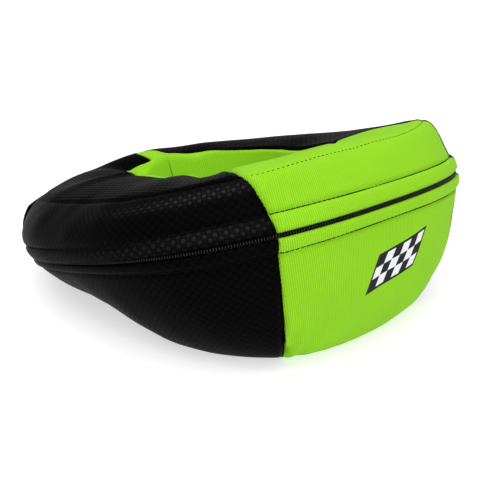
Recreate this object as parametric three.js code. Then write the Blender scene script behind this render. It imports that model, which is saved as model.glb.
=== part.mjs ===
import * as THREE from 'three';

// Soft ring collar: a foam ring in a two-colour sewn cover, with a zip round its widest line
// and a tab that closes it under the chin. Sizes are millimetres, angles are degrees.
// The collar is drawn square to its zip, which lies in the plane z = 0 round the neck's axis.
// Angles run from the back of the neck (0) to the chin (180), positive on the wearer's left.

// Outline of the collar at the zip
const HALF_WIDTH = 132.5;
const BACK_REACH = 134;
const FRONT_REACH = 127;
const OUTLINE_SQUARENESS = 2.5;

// Opening for the neck
const NECK_HALF_WIDTH = 54.5;
const NECK_BACK_REACH = 69.5;
const NECK_FRONT_REACH = 70.5;
const NECK_SQUARENESS = 2.3;
const NECK_FLARE = 7;
const NECK_PAD = 2.5;

// Heights from the zip, and how the collar stands
const EDGE_HEIGHT = 36;
const RIM_HEIGHT = 36;
const FLOOR_DROP = 50.5;
const REST_TILT = 18.2;

// Swellings and roundings of the padded section
const EDGE_INSET = 16;
const WALL_BULGE = 8;
const TOP_CROWN = 3;
const WALL_EASE = 1.6;
const EDGE_ROUND = 8;
const RIM_ROUND = 7;
const BASE_ROUND = 7;

// Sewn cover
const COVER = 1.6;
const SEAM_GAP = 0.4;
const CLEARANCE = 0.3;
const PADDING_GAP = 0.6;
const FLAP_HEIGHT = 11;
const FLAP_FOLD = 3;
const FLAP_PROUD = 2.6;
const FLAP_FADE_FROM = 85;
const FLAP_FADE_TO = 120;

// Zip
const ZIP_OPENING = 4.4;
const COIL_WIDTH = 3.2;
const COIL_PROUD = 0.8;
const TAPE = 1;
const TAPE_WIDTH = 6.4;
const CHANNEL_SLOPE = 0.6;
const SLIDER_ANGLE = -112;
const SLIDER_LENGTH = 9;
const SLIDER_WIDTH = 8;
const SLIDER_THICKNESS = 2.6;
const SLIDER_STEM = 1.6;
const SLIDER_GAP = 0.6;
const PULL_LENGTH = 20;
const PULL_THICKNESS = 1.6;

// Meeting of the two arms at the chin
const ARM_GAP = 1.6;
const END_PANEL = 1.6;
const TAB_FROM = 131;
const TAB_TO = 208;
const TAB = 2.8;
const TAB_STANDOFF = 1.7;
const TAB_DEPTH = 11;
const TAB_FLOOR_GAP = 3;
const TAB_TOP_GAP = 2;

// Section table: one row for each section round the ring, from the back to the chin.
// Apart from the angle and the chamfer exponent, each column is a share of a named size; underWidth is
// the share of the ring's width at its foot, between the neck and the outline, that the wall turns in.
const COLUMNS = ['angle', 'edgeInset', 'edgeHeight', 'rimHeight', 'bulge', 'underWidth', 'chamfer'];
const SECTIONS = [
  [0, 0.78, 1.0, 0.92, 0.0, 0.829, 1.3],
  [35, 0.55, 0.95, 0.92, -0.1, 0.773, 1.2],
  [70, 0.94, 0.89, 0.9, 0.5, 0.709, 1.3],
  [100, 1.06, 0.91, 0.95, 0.75, 0.889, 1.4],
  [130, 0.62, 1.01, 1.02, 0.9, 0.821, 1.2],
  [155, 0.75, 1.19, 1.13, 0.7, 0.88, 1.2],
  [180, 0.69, 1.28, 1.22, 0.35, 0.942, 1.2],];

// Black and green meet on this line above the zip: share of the way from the rim, then the angle.
// The seam on the wearer's right lies a little further forward than the one on the left.
const SEAM_COLUMNS = ['share', 'angle'];
const UPPER_SEAM = [
  [0, 39],
  [0.55, 35],
  [1, 31],
];
const LOWER_SEAM_ANGLE = 31;
const RIGHT_SEAM_SHIFT = 4.5;

// Where the padding is pressed in at the rim: middle angle, half width and share of the drop
const DENT_DROP = 6;
const DENT_COLUMNS = ['angle', 'halfWidth', 'share'];
const DENTS = [
  [159, 8, 1],
  [-163, 9, 0.6],
  [96, 14, 0.3],
  [-88, 16, 0.25],
];

// Number of steps on each stretch of the section and round the ring
const ROW_COUNT = {
  lining: 4, rimRound: 2, top: 3, edgeRound: 3, wall: 2, flap: 3, low: 5, base: 1, baseRound: 2,
};
const BACK_COLUMNS = 12;
const SIDE_COLUMNS = 20;
const TAB_COLUMNS = 12;
const TAB_ROWS = 9;
const HALVINGS = 24;
const LOWER_TURN_LIMIT = 1.3;
const SLOPE_STEP = 0.5;

const TILT = THREE.MathUtils.degToRad(REST_TILT);
const { degToRad, lerp, smoothstep } = THREE.MathUtils;

// Smooth curve through the rows of a table, level at its first and last row.
function curveThrough(rows, columns, name, at) {
  const column = columns.indexOf(name);
  const last = rows.length - 1;
  const slope = (i) => {
    if (i === 0 || i === last) {
      return 0;
    }
    return (rows[i + 1][column] - rows[i - 1][column]) / (rows[i + 1][0] - rows[i - 1][0]);
  };
  let i = 0;
  while (i < last - 1 && at > rows[i + 1][0]) {
    i += 1;
  }
  const span = rows[i + 1][0] - rows[i][0];
  const t = THREE.MathUtils.clamp((at - rows[i][0]) / span, 0, 1);
  const t2 = t * t;
  const t3 = t2 * t;
  return (2 * t3 - 3 * t2 + 1) * rows[i][column] + (t3 - 2 * t2 + t) * span * slope(i)
    + (3 * t2 - 2 * t3) * rows[i + 1][column] + (t3 - t2) * span * slope(i + 1);
}

// Distance from the axis to a superellipse with its own reach at the side, back and front.
function outlineRadius(angle, side, back, front, squareness) {
  const along = Math.cos(degToRad(angle));
  const across = Math.sin(degToRad(angle));
  const reach = along > 0 ? back : front;
  return (Math.abs(across / side) ** squareness + Math.abs(along / reach) ** squareness) ** (-1 / squareness);
}

// Drop of the rim at an angle, from the table of dents.
function dentAt(angle) {
  let drop = 0;
  for (const row of DENTS) {
    const dent = Object.fromEntries(DENT_COLUMNS.map((name, i) => [name, row[i]]));
    drop += DENT_DROP * dent.share * Math.exp(-(((angle - dent.angle) / dent.halfWidth) ** 2));
  }
  return drop;
}

// Named sizes of the section at one angle.
function sectionAt(angle) {
  const from = Math.abs(angle);
  const share = (name) => curveThrough(SECTIONS, COLUMNS, name, from);
  const outer = outlineRadius(angle, HALF_WIDTH, BACK_REACH, FRONT_REACH, OUTLINE_SQUARENESS);
  const neck = outlineRadius(angle, NECK_HALF_WIDTH, NECK_BACK_REACH, NECK_FRONT_REACH, NECK_SQUARENESS);
  const baseEnd = neck + NECK_FLARE + BASE_ROUND;
  const footRadius = outer - (outer - baseEnd) * share('underWidth');
  const slope = Math.cos(degToRad(angle)) * Math.tan(TILT);
  return {
    outer,
    neck,
    edge: outer - EDGE_INSET * share('edgeInset'),
    top: EDGE_HEIGHT * share('edgeHeight'),
    rim: RIM_HEIGHT * share('rimHeight') - dentAt(angle),
    bulge: WALL_BULGE * share('bulge'),
    footRadius,
    zipHeight: FLOOR_DROP + outer * slope,
    chamfer: share('chamfer'),
    floor: (radius) => -FLOOR_DROP - radius * slope,
  };
}

// Outer wall above the zip at height z: eased from the edge to the outline, and swollen between.
function upperWall(section, z) {
  const down = 1 - z / section.top;
  const eased = 1 - (1 - down) ** WALL_EASE;
  return lerp(section.edge, section.outer, eased) + section.bulge * Math.sin(Math.PI * down);
}

// Point of the wall below the zip: a quarter oval from the zip (turn 0) to the foot (turn 90 degrees),
// flattened by the chamfer exponent and sheared so that it meets the sloping floor flat.
function lowerPoint(section, turn) {
  const inward = 1 - Math.cos(turn) ** section.chamfer;
  const radius = section.outer - (section.outer - section.footRadius) * inward;
  return [radius, section.floor(radius) + section.zipHeight * (1 - Math.sin(turn) ** section.chamfer)];
}

// Turn at which the lower wall reaches height z, found by halving.
function lowerTurn(section, z) {
  let low = 0;
  let high = LOWER_TURN_LIMIT;
  for (let i = 0; i < HALVINGS; i += 1) {
    const middle = (low + high) / 2;
    if (lowerPoint(section, middle)[1] > z) {
      low = middle;
    } else {
      high = middle;
    }
  }
  return (low + high) / 2;
}

function lowerWall(section, z) {
  return lowerPoint(section, lowerTurn(section, z))[0];
}

function wallRadius(section, z) {
  return z >= 0 ? upperWall(section, z) : lowerWall(section, z);
}

// Point of the outer wall at height z, moved inward by a distance square to the wall.
function wallPoint(section, z, inward) {
  const slope = (wallRadius(section, z + SLOPE_STEP) - wallRadius(section, z - SLOPE_STEP)) / (2 * SLOPE_STEP);
  const length = Math.hypot(1, slope);
  return [wallRadius(section, z) - inward / length, z + (inward * slope) / length];
}

// Points of a quadratic curve from a to b, bent towards the corner, without its first point.
function roundedCorner(a, corner, b, steps) {
  const curve = new THREE.QuadraticBezierCurve(
    new THREE.Vector2(...a), new THREE.Vector2(...corner), new THREE.Vector2(...b));
  return curve.getPoints(steps).slice(1).map((point) => [point.x, point.y]);
}

function between(from, to, steps) {
  return Array.from({ length: steps }, (_, i) => lerp(from, to, (i + 1) / steps));
}

// Neck wall, from the foot of the lining up to the crest of the rim.
function liningRows(section) {
  const foot = section.neck + NECK_FLARE;
  const rise = section.rim - RIM_ROUND - section.floor(foot) - BASE_ROUND;
  const height = (share) => section.floor(foot) + BASE_ROUND + rise * share;
  const radius = (share) => section.neck + NECK_FLARE * (1 - share) ** 2 - NECK_PAD * Math.sin(Math.PI * share);
  const rows = [[radius(0), height(0)]];
  for (const share of between(0, 1, ROW_COUNT.lining)) {
    rows.push([radius(share), height(share)]);
  }
  const crest = [section.neck + RIM_ROUND, section.rim];
  return rows.concat(roundedCorner(rows.at(-1), [section.neck, section.rim], crest, ROW_COUNT.rimRound));
}

// Top face and upper wall, from the crest of the rim down to the folded edge beside the zip.
function upperRows(section) {
  const crest = [section.neck + RIM_ROUND, section.rim];
  const inner = section.edge - EDGE_ROUND;
  const topHeight = (radius) => {
    const across = (radius - crest[0]) / (section.edge - crest[0]);
    return lerp(section.rim, section.top, across) + TOP_CROWN * Math.sin(Math.PI * across);
  };
  const rows = [crest];
  for (const radius of between(crest[0], inner, ROW_COUNT.top)) {
    rows.push([radius, topHeight(radius)]);
  }
  const under = section.top - EDGE_ROUND;
  const wallTop = [upperWall(section, under), under];
  rows.push(...roundedCorner([inner, topHeight(inner)], [section.edge, section.top], wallTop, ROW_COUNT.edgeRound));
  for (const z of between(under, FLAP_HEIGHT, ROW_COUNT.wall)) {
    rows.push([upperWall(section, z), z]);
  }
  for (const z of between(FLAP_HEIGHT, ZIP_OPENING / 2, ROW_COUNT.flap)) {
    rows.push([upperWall(section, z), z]);
  }
  return rows;
}

// Lower wall and underside, from the folded edge beside the zip to the foot of the lining.
function lowerRows(section) {
  const rows = [[lowerWall(section, -ZIP_OPENING / 2), -ZIP_OPENING / 2]];
  for (const z of between(-ZIP_OPENING / 2, -FLAP_HEIGHT, ROW_COUNT.flap)) {
    rows.push([lowerWall(section, z), z]);
  }
  for (const turn of between(lowerTurn(section, -FLAP_HEIGHT), Math.PI / 2, ROW_COUNT.low)) {
    rows.push(lowerPoint(section, turn));
  }
  const foot = section.neck + NECK_FLARE;
  const baseEnd = foot + BASE_ROUND;
  for (const radius of between(section.footRadius, baseEnd, ROW_COUNT.base)) {
    rows.push([radius, section.floor(radius)]);
  }
  const lift = [foot, section.floor(foot) + BASE_ROUND];
  rows.push(...roundedCorner([baseEnd, section.floor(baseEnd)], [foot, section.floor(foot)], lift, ROW_COUNT.baseRound));
  return rows;
}

// The whole section as one closed loop: neck lining, top and upper wall, lower wall and underside.
function sectionRows(section) {
  return [...liningRows(section), ...upperRows(section).slice(1), ...lowerRows(section).slice(0, -1)];
}

const CREST_ROW = ROW_COUNT.lining + ROW_COUNT.rimRound;
const UPPER_END_ROW = CREST_ROW + ROW_COUNT.top + ROW_COUNT.edgeRound + ROW_COUNT.wall + ROW_COUNT.flap;
const FOOT_ROW = UPPER_END_ROW + 1 + ROW_COUNT.flap + ROW_COUNT.low + ROW_COUNT.base + ROW_COUNT.baseRound;

// Rows of a closed section moved inward by a distance, or by a function of the row's height.
function insetRows(rows, inward) {
  const count = rows.length;
  return rows.map((row, i) => {
    const before = rows[(i + count - 1) % count];
    const after = rows[(i + 1) % count];
    const across = [after[0] - before[0], after[1] - before[1]];
    const distance = (typeof inward === 'function' ? inward(row[1]) : inward) / Math.hypot(...across);
    return [row[0] + distance * across[1], row[1] - distance * across[0]];
  });
}

// Rows from one number to another, with the first and last drawn back by half the seam gap.
function panelRows(rows, from, to) {
  const picked = Array.from({ length: to - from + 1 }, (_, i) => rows[(from + i) % rows.length]);
  const drawnBack = (end, next) => {
    const share = SEAM_GAP / 2 / Math.hypot(next[0] - end[0], next[1] - end[1]);
    return [lerp(end[0], next[0], share), lerp(end[1], next[1], share)];
  };
  return [drawnBack(picked[0], picked[1]), ...picked.slice(1, -1), drawnBack(picked.at(-1), picked.at(-2))];
}

// Where the line between black and green crosses a row of the section. On the plain lining,
// it is only the line that the columns follow from the underside's seam to the rim's.
function seamAngle(row) {
  const upper = (share) => curveThrough(UPPER_SEAM, SEAM_COLUMNS, 'angle', share);
  if (row <= CREST_ROW) {
    return lerp(LOWER_SEAM_ANGLE, upper(0), row / CREST_ROW);
  }
  return row <= UPPER_END_ROW ? upper((row - CREST_ROW) / (UPPER_END_ROW - CREST_ROW)) : LOWER_SEAM_ANGLE;
}

// Angle of a column on a row. The columns of every piece follow the seam, so the pieces nest.
const RIGHT_SEAM_COLUMN = SIDE_COLUMNS;
const LEFT_SEAM_COLUMN = SIDE_COLUMNS + BACK_COLUMNS;
const LAST_COLUMN = 2 * SIDE_COLUMNS + BACK_COLUMNS;
function columnAngle(column, row) {
  const seam = seamAngle(row);
  const rightSeam = -seam - RIGHT_SEAM_SHIFT;
  if (column < RIGHT_SEAM_COLUMN) {
    return lerp(-180, rightSeam, column / SIDE_COLUMNS);
  }
  if (column <= LEFT_SEAM_COLUMN) {
    return lerp(rightSeam, seam, (column - RIGHT_SEAM_COLUMN) / BACK_COLUMNS);
  }
  return lerp(seam, 180, (column - LEFT_SEAM_COLUMN) / SIDE_COLUMNS);
}

// How far the folded edge beside the zip stands proud at a height and an angle.
function flapProud(z, angle) {
  const across = 1 - smoothstep(Math.abs(z), FLAP_HEIGHT - FLAP_FOLD, FLAP_HEIGHT);
  const along = 1 - smoothstep(Math.abs(angle), FLAP_FADE_FROM, FLAP_FADE_TO);
  return FLAP_PROUD * across * along;
}

// A point of the ring at an angle. At the chin it lies on the plane of the arm's end instead.
function ringPoint(angle, radius, z, endPlane) {
  const turn = degToRad(angle);
  if (Math.abs(angle) === 180) {
    const x = Math.sign(angle) * endPlane;
    return [x, -Math.sqrt(radius * radius - endPlane * endPlane), z];
  }
  return [radius * Math.sin(turn), radius * Math.cos(turn), z];
}

function geometryOf(points, faces) {
  let volume = 0;
  const corner = new THREE.Vector3();
  for (const [a, b, c] of faces) {
    corner.set(...points[a]).cross(new THREE.Vector3(...points[b]));
    volume += corner.dot(new THREE.Vector3(...points[c]));
  }
  const geometry = new THREE.BufferGeometry();
  geometry.setAttribute('position', new THREE.Float32BufferAttribute(points.flat(), 3));
  geometry.setIndex(volume > 0 ? faces.flat() : faces.map(([a, b, c]) => [a, c, b]).flat());
  geometry.computeVertexNormals();
  return geometry;
}

// Closed wall between an outer and an inner grid of points, both given as rows of columns.
function wallGeometry(outer, inner) {
  const rows = outer.length;
  const columns = outer[0].length;
  const points = outer.flat().concat(inner.flat());
  const out = (i, j) => i * columns + j;
  const inn = (i, j) => rows * columns + i * columns + j;
  const faces = [];
  const quad = (a, b, c, d) => faces.push([a, b, c], [a, c, d]);
  for (let i = 0; i < rows - 1; i += 1) {
    for (let j = 0; j < columns - 1; j += 1) {
      quad(out(i, j), out(i, j + 1), out(i + 1, j + 1), out(i + 1, j));
      quad(inn(i, j), inn(i + 1, j), inn(i + 1, j + 1), inn(i, j + 1));
    }
  }
  for (let i = 0; i < rows - 1; i += 1) {
    const j = columns - 1;
    quad(out(i, 0), out(i + 1, 0), inn(i + 1, 0), inn(i, 0));
    quad(out(i + 1, j), out(i, j), inn(i, j), inn(i + 1, j));
  }
  for (let j = 0; j < columns - 1; j += 1) {
    const i = rows - 1;
    quad(out(0, j + 1), out(0, j), inn(0, j), inn(0, j + 1));
    quad(out(i, j), out(i, j + 1), inn(i, j + 1), inn(i, j));
  }
  return geometryOf(points, faces);
}

// Solid carried through closed loops of points, with a flat face on the first and the last.
function loftGeometry(loops) {
  const size = loops[0].length;
  const faces = [];
  for (let j = 0; j < loops.length - 1; j += 1) {
    for (let i = 0; i < size; i += 1) {
      const next = (i + 1) % size;
      const [a, b, c, d] = [j * size + i, j * size + next, (j + 1) * size + next, (j + 1) * size + i];
      faces.push([a, b, c], [a, c, d]);
    }
  }
  const flat = (loop) => loop.map((point) => new THREE.Vector2(Math.hypot(point[0], point[1]), point[2]));
  const first = (loops.length - 1) * size;
  const capped = (loop, offset, turned) => {
    for (const [a, b, c] of THREE.ShapeUtils.triangulateShape(flat(loop), [])) {
      faces.push(turned ? [offset + a, offset + c, offset + b] : [offset + a, offset + b, offset + c]);
    }
  };
  const area = THREE.ShapeUtils.area(flat(loops[0]));
  capped(loops[0], 0, area > 0);
  capped(loops.at(-1), first, area <= 0);
  return geometryOf(loops.flat(), faces);
}

// Cover panel between two rows of the section and two columns, drawn back at its seams.
function coverPanel(fromRow, toRow, fromColumn, toColumn) {
  const outer = Array.from({ length: toRow - fromRow + 1 }, () => []);
  const inner = outer.map(() => []);
  for (let column = fromColumn; column <= toColumn; column += 1) {
    outer.forEach((_, i) => {
      const atSeam = column === RIGHT_SEAM_COLUMN || column === LEFT_SEAM_COLUMN;
      const isSeam = atSeam && (column === fromColumn || column === toColumn);
      const side = column === fromColumn ? 1 : -1;
      const back = isSeam ? (side * SEAM_GAP) / HALF_WIDTH : 0;
      const angle = columnAngle(column, fromRow + i) + THREE.MathUtils.radToDeg(back);
      const rows = sectionRows(sectionAt(angle));
      const face = panelRows(insetRows(rows, (z) => -flapProud(z, angle)), fromRow, toRow)[i];
      const lining = panelRows(insetRows(rows, COVER), fromRow, toRow)[i];
      outer[i].push(ringPoint(angle, ...face, ARM_GAP / 2));
      inner[i].push(ringPoint(angle, ...lining, ARM_GAP / 2));
    });
  }
  return wallGeometry(outer, inner);
}

// Foam section: the cover's inside less a clearance, with a shallow channel behind the zip.
const TAPE_INSET = COVER + CLEARANCE;
const FOAM_INSET = COVER + PADDING_GAP;
const CHANNEL_INSET = TAPE_INSET + TAPE + CLEARANCE;
const CHANNEL_HALF = COIL_WIDTH / 2 + CLEARANCE + TAPE_WIDTH + CLEARANCE;
const CHANNEL_EDGE = CHANNEL_HALF + CHANNEL_SLOPE;
const CHANNEL_HEIGHTS = [CHANNEL_EDGE, CHANNEL_HALF, 0, -CHANNEL_HALF, -CHANNEL_EDGE];
const CHANNEL_FROM = UPPER_END_ROW - ROW_COUNT.flap + 1;
const CHANNEL_TO = UPPER_END_ROW + ROW_COUNT.flap;
function foamRows(section) {
  const outside = insetRows(sectionRows(section), FOAM_INSET);
  const channel = CHANNEL_HEIGHTS.map((z) => wallPoint(
    section, z, Math.abs(z) > CHANNEL_HALF ? FOAM_INSET : CHANNEL_INSET));
  return [...outside.slice(0, CHANNEL_FROM), ...channel, ...outside.slice(CHANNEL_TO + 1)];
}

// Row of the cover's section that a row of the foam lies behind.
function foamToCover(row) {
  if (row < CHANNEL_FROM) {
    return row;
  }
  const after = row - CHANNEL_HEIGHTS.length;
  return after < CHANNEL_FROM ? UPPER_END_ROW : after - CHANNEL_FROM + CHANNEL_TO + 1;
}

// Strip of the outer wall between two heights and two distances inward, as a closed loop.
function stripRows(section, low, high, near, far) {
  return [[low, near], [high, near], [high, far], [low, far]].map(([z, inward]) => wallPoint(section, z, inward));
}

// Solid carried round the ring, with its ends on the planes where the arms stop.
function ringLoft(rowsAt, coverRow, endPlane) {
  const count = rowsAt(sectionAt(0)).length;
  const loops = [];
  for (let column = 0; column <= LAST_COLUMN; column += 1) {
    loops.push(Array.from({ length: count }, (_, i) => {
      const angle = columnAngle(column, coverRow(i));
      return ringPoint(angle, ...rowsAt(sectionAt(angle))[i], endPlane);
    }));
  }
  return loftGeometry(loops);
}

const vinyl = { color: 0x17181a, roughness: 0.5, metalness: 0 };
const greenCloth = { color: 0x97de31, roughness: 0.85, metalness: 0 };
const tapeCloth = { color: 0x0c0c0d, roughness: 0.9, metalness: 0 };
const coilPlastic = { color: 0x0f1011, roughness: 0.45, metalness: 0 };
const sliderMetal = { color: 0x1c1d1f, roughness: 0.4, metalness: 0.6 };
const foam = { color: 0xb9b7ad, roughness: 0.95, metalness: 0 };

const collar = new THREE.Group();

function addPiece(name, geometry, finish) {
  const mesh = new THREE.Mesh(geometry, new THREE.MeshStandardMaterial(finish));
  mesh.name = name;
  collar.add(mesh);
  return mesh;
}

// Padding, open at the chin
const foamEnd = ARM_GAP / 2 + END_PANEL + CLEARANCE;
addPiece('foam_core', ringLoft(foamRows, foamToCover, foamEnd), foam);

// Closed ends of the arms, inside the cover
for (const [side, chin] of [['left', 180], ['right', -180]]) {
  const outline = insetRows(sectionRows(sectionAt(chin)), FOAM_INSET);
  const loops = [ARM_GAP / 2, ARM_GAP / 2 + END_PANEL].map(
    (plane) => outline.map(([radius, z]) => ringPoint(chin, radius, z, plane)));
  addPiece(`arm_end_${side}`, loftGeometry(loops), vinyl);
}

// Cover above and below the zip, green at the back and black down each arm, and the neck's lining
for (const [level, first, last] of [['upper', CREST_ROW, UPPER_END_ROW], ['lower', UPPER_END_ROW + 1, FOOT_ROW]]) {
  addPiece(`${level}_back_panel`, coverPanel(first, last, RIGHT_SEAM_COLUMN, LEFT_SEAM_COLUMN), greenCloth);
  addPiece(`${level}_side_left`, coverPanel(first, last, LEFT_SEAM_COLUMN, LAST_COLUMN), vinyl);
  addPiece(`${level}_side_right`, coverPanel(first, last, 0, RIGHT_SEAM_COLUMN), vinyl);
}
addPiece('neck_lining', coverPanel(0, CREST_ROW, 0, LAST_COLUMN), greenCloth);

// Zip: two tapes behind the folded edges, and the closed coil between them
const zipRow = () => UPPER_END_ROW;
const tapeFar = TAPE_INSET + TAPE;
const tapeEdge = COIL_WIDTH / 2 + CLEARANCE;
for (const [name, sign] of [['zip_tape_upper', 1], ['zip_tape_lower', -1]]) {
  addPiece(name, ringLoft((section) => stripRows(
    section, sign * tapeEdge, sign * (tapeEdge + TAPE_WIDTH), TAPE_INSET, tapeFar), zipRow, foamEnd), tapeCloth);
}
addPiece('zip_coil', ringLoft((section) => stripRows(
  section, -COIL_WIDTH / 2, COIL_WIDTH / 2, -COIL_PROUD, tapeFar), zipRow, foamEnd), coilPlastic);

// Slider and pull, one plain piece that straddles the two folded edges
const sliderSection = sectionAt(SLIDER_ANGLE);
const lowFlap = new THREE.Vector2(...wallPoint(sliderSection, -SLIDER_WIDTH / 2, -FLAP_PROUD));
const highFlap = new THREE.Vector2(...wallPoint(sliderSection, SLIDER_WIDTH / 2, -FLAP_PROUD));
const coilTop = new THREE.Vector2(...wallPoint(sliderSection, 0, -COIL_PROUD));
const sliderUp = highFlap.clone().sub(lowFlap).normalize();
const sliderOut = new THREE.Vector2(sliderUp.y, -sliderUp.x);
const sliderMiddle = lowFlap.clone().add(highFlap).multiplyScalar(0.5);
const stemFoot = coilTop.clone().sub(sliderMiddle).dot(sliderOut) + SLIDER_GAP;
const sliderFront = SLIDER_GAP + SLIDER_THICKNESS;
const pullEnd = -SLIDER_WIDTH / 2 - PULL_LENGTH;
const sliderOutline = [
  [stemFoot, -SLIDER_STEM / 2],
  [SLIDER_GAP, -SLIDER_STEM / 2],
  [SLIDER_GAP, -SLIDER_WIDTH / 2],
  [sliderFront - PULL_THICKNESS, -SLIDER_WIDTH / 2],
  [sliderFront - PULL_THICKNESS, pullEnd],
  [sliderFront, pullEnd],
  [sliderFront, SLIDER_WIDTH / 2],
  [SLIDER_GAP, SLIDER_WIDTH / 2],
  [SLIDER_GAP, SLIDER_STEM / 2],
  [stemFoot, SLIDER_STEM / 2],
];
const sliderShape = new THREE.Shape(sliderOutline.map(([out, up]) => sliderMiddle.clone()
  .addScaledVector(sliderOut, out).addScaledVector(sliderUp, up)));
const sliderGeometry = new THREE.ExtrudeGeometry(sliderShape, { depth: SLIDER_LENGTH, bevelEnabled: false });
sliderGeometry.translate(0, 0, -SLIDER_LENGTH / 2);
sliderGeometry.rotateX(Math.PI / 2);
const slider = addPiece('zip_slider', sliderGeometry, sliderMetal);
slider.rotation.z = Math.PI / 2 - degToRad(SLIDER_ANGLE);

// Tab that laps over both arms at the chin
function tabRows(section) {
  const radius = section.outer + TAB_STANDOFF + TAB;
  const low = Math.max(-TAB_DEPTH, section.floor(radius) + TAB_FLOOR_GAP);
  const high = section.top - EDGE_ROUND - TAB_TOP_GAP;
  return [high, ...between(high, low, TAB_ROWS)];
}
const tabAngles = [TAB_FROM, ...between(TAB_FROM, TAB_TO, TAB_COLUMNS)];
const tabSide = (inward) => {
  const columns = tabAngles.map((angle) => {
    const turned = angle > 180 ? angle - 360 : angle;
    const section = sectionAt(turned);
    return tabRows(section).map((z) => {
      const [radius, height] = wallPoint(section, z, inward);
      const turn = degToRad(turned);
      return [radius * Math.sin(turn), radius * Math.cos(turn), height];
    });
  });
  return columns[0].map((_, i) => columns.map((column) => column[i]));
};
addPiece('closing_tab', wallGeometry(tabSide(-TAB_STANDOFF - TAB), tabSide(-TAB_STANDOFF)), vinyl);

// The collar lies on its own underside: tilted forward, and centred over the origin
collar.rotation.x = TILT;
collar.position.z = FLOOR_DROP * Math.cos(TILT);
collar.updateMatrixWorld(true);
const reach = new THREE.Box3().setFromObject(collar, true);
collar.position.y = -(reach.min.y + reach.max.y) / 2;
collar.position.x = -(reach.min.x + reach.max.x) / 2;

const neckBrace = new THREE.Group();
neckBrace.add(collar);
neckBrace.updateMatrixWorld(true);

export default neckBrace;
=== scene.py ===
import bmesh
import bpy
import numpy as np
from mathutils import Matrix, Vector


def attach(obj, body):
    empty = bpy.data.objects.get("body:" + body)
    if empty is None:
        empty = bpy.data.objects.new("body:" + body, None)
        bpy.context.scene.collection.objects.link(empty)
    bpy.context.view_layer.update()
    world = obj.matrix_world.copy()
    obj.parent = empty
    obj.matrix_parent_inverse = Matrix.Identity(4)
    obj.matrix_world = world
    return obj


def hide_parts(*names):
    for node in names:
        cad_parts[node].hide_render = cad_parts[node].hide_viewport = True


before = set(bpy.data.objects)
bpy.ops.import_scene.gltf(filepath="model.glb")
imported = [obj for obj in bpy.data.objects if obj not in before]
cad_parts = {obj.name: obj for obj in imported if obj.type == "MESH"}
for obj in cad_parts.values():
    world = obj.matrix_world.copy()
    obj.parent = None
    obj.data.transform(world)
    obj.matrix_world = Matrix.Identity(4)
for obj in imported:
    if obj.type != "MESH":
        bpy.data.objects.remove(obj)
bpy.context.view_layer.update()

# Foam ring: the padding that gives the collar its shape, one soft ring of open-cell foam
# cut open at the chin. It is hidden in the cover, a little smaller all round. The whole
# collar is drawn square to its zip, in millimetres, and then laid down on its underside.
HALF_WIDTH, BACK_REACH, FRONT_REACH, OUTLINE_SQUARENESS = 132.5, 134.0, 127.0, 2.5
NECK_HALF_WIDTH, NECK_BACK_REACH, NECK_FRONT_REACH, NECK_SQUARENESS = 54.5, 69.5, 70.5, 2.3
NECK_FLARE, NECK_PAD = 7.0, 2.5
EDGE_HEIGHT, RIM_HEIGHT, FLOOR_DROP = 36.0, 36.0, 50.5
REST_TILT = np.radians(18.2)
EDGE_INSET, WALL_BULGE, WALL_EASE, TOP_CROWN = 16.0, 8.0, 1.6, 3.0
EDGE_ROUND, RIM_ROUND, BASE_ROUND = 8.0, 7.0, 7.0
FLAP_HEIGHT, ZIP_OPENING, ARM_GAP = 11.0, 2.6, 1.6
# the folds close in on the zip by this much, from the first angle and over the second
FOLD_CLOSES, FOLD_CLOSES_FROM, FOLD_CLOSES_OVER = 0.9, 45, 35
# shift that centres the laid-down ring on the frame
MIDDLE = (0.0, -0.02)
# the ends of the arms are cut off straight beyond this angle
CHIN_FROM = 170

# angle from the back, then shares of: edge inset, edge height, rim height, bulge, width at the foot;
# last the exponent that flattens the lower wall
SECTIONS = np.array([
    [0, 0.78, 1.0, 0.92, 0.0, 0.829, 1.3],
    [35, 0.55, 0.95, 0.92, -0.1, 0.773, 1.2],
    [70, 0.94, 0.89, 0.9, 0.5, 0.709, 1.3],
    [100, 1.06, 0.91, 0.95, 0.75, 0.889, 1.4],
    [130, 0.62, 1.01, 1.02, 0.9, 0.821, 1.2],
    [155, 0.75, 1.19, 1.13, 0.7, 0.88, 1.2],
    [180, 0.69, 1.28, 1.22, 0.35, 0.942, 1.2],
])
# dents in the rim: angle, half width in degrees and share of the depth, below 0 for a hump
DENT_DROP = 6.0
DENTS = ((159, 8, 1.0), (-163, 9, 0.4), (100, 34, -0.65), (-88, 16, 0.25), (46, 9, 0.5),
         (117, 7, -0.5), (62, 8, -0.3), (-16, 15, 0.62))


def curve_through(table, column, at):
    """Cubic through a table's rows: each row's slope is that of its two neighbours, level at both ends."""
    x, y = table[:, 0], table[:, column]
    slope = np.zeros_like(y)
    slope[1:-1] = (y[2:] - y[:-2]) / (x[2:] - x[:-2])
    i = np.clip(np.searchsorted(x, at, side="right") - 1, 0, len(x) - 2)
    span = x[i + 1] - x[i]
    t = np.clip((at - x[i]) / span, 0, 1)
    return ((2 * t**3 - 3 * t**2 + 1) * y[i] + (t**3 - 2 * t**2 + t) * span * slope[i]
            + (3 * t**2 - 2 * t**3) * y[i + 1] + (t**3 - t**2) * span * slope[i + 1])


def outline_radius(angle, side, back, front, squareness):
    """Radius of a superellipse whose reach differs at the side, the back and the front."""
    across, along = np.sin(np.radians(angle)), np.cos(np.radians(angle))
    reach = np.where(along > 0, back, front)
    return (np.abs(across / side) ** squareness + np.abs(along / reach) ** squareness) ** (-1 / squareness)


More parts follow.
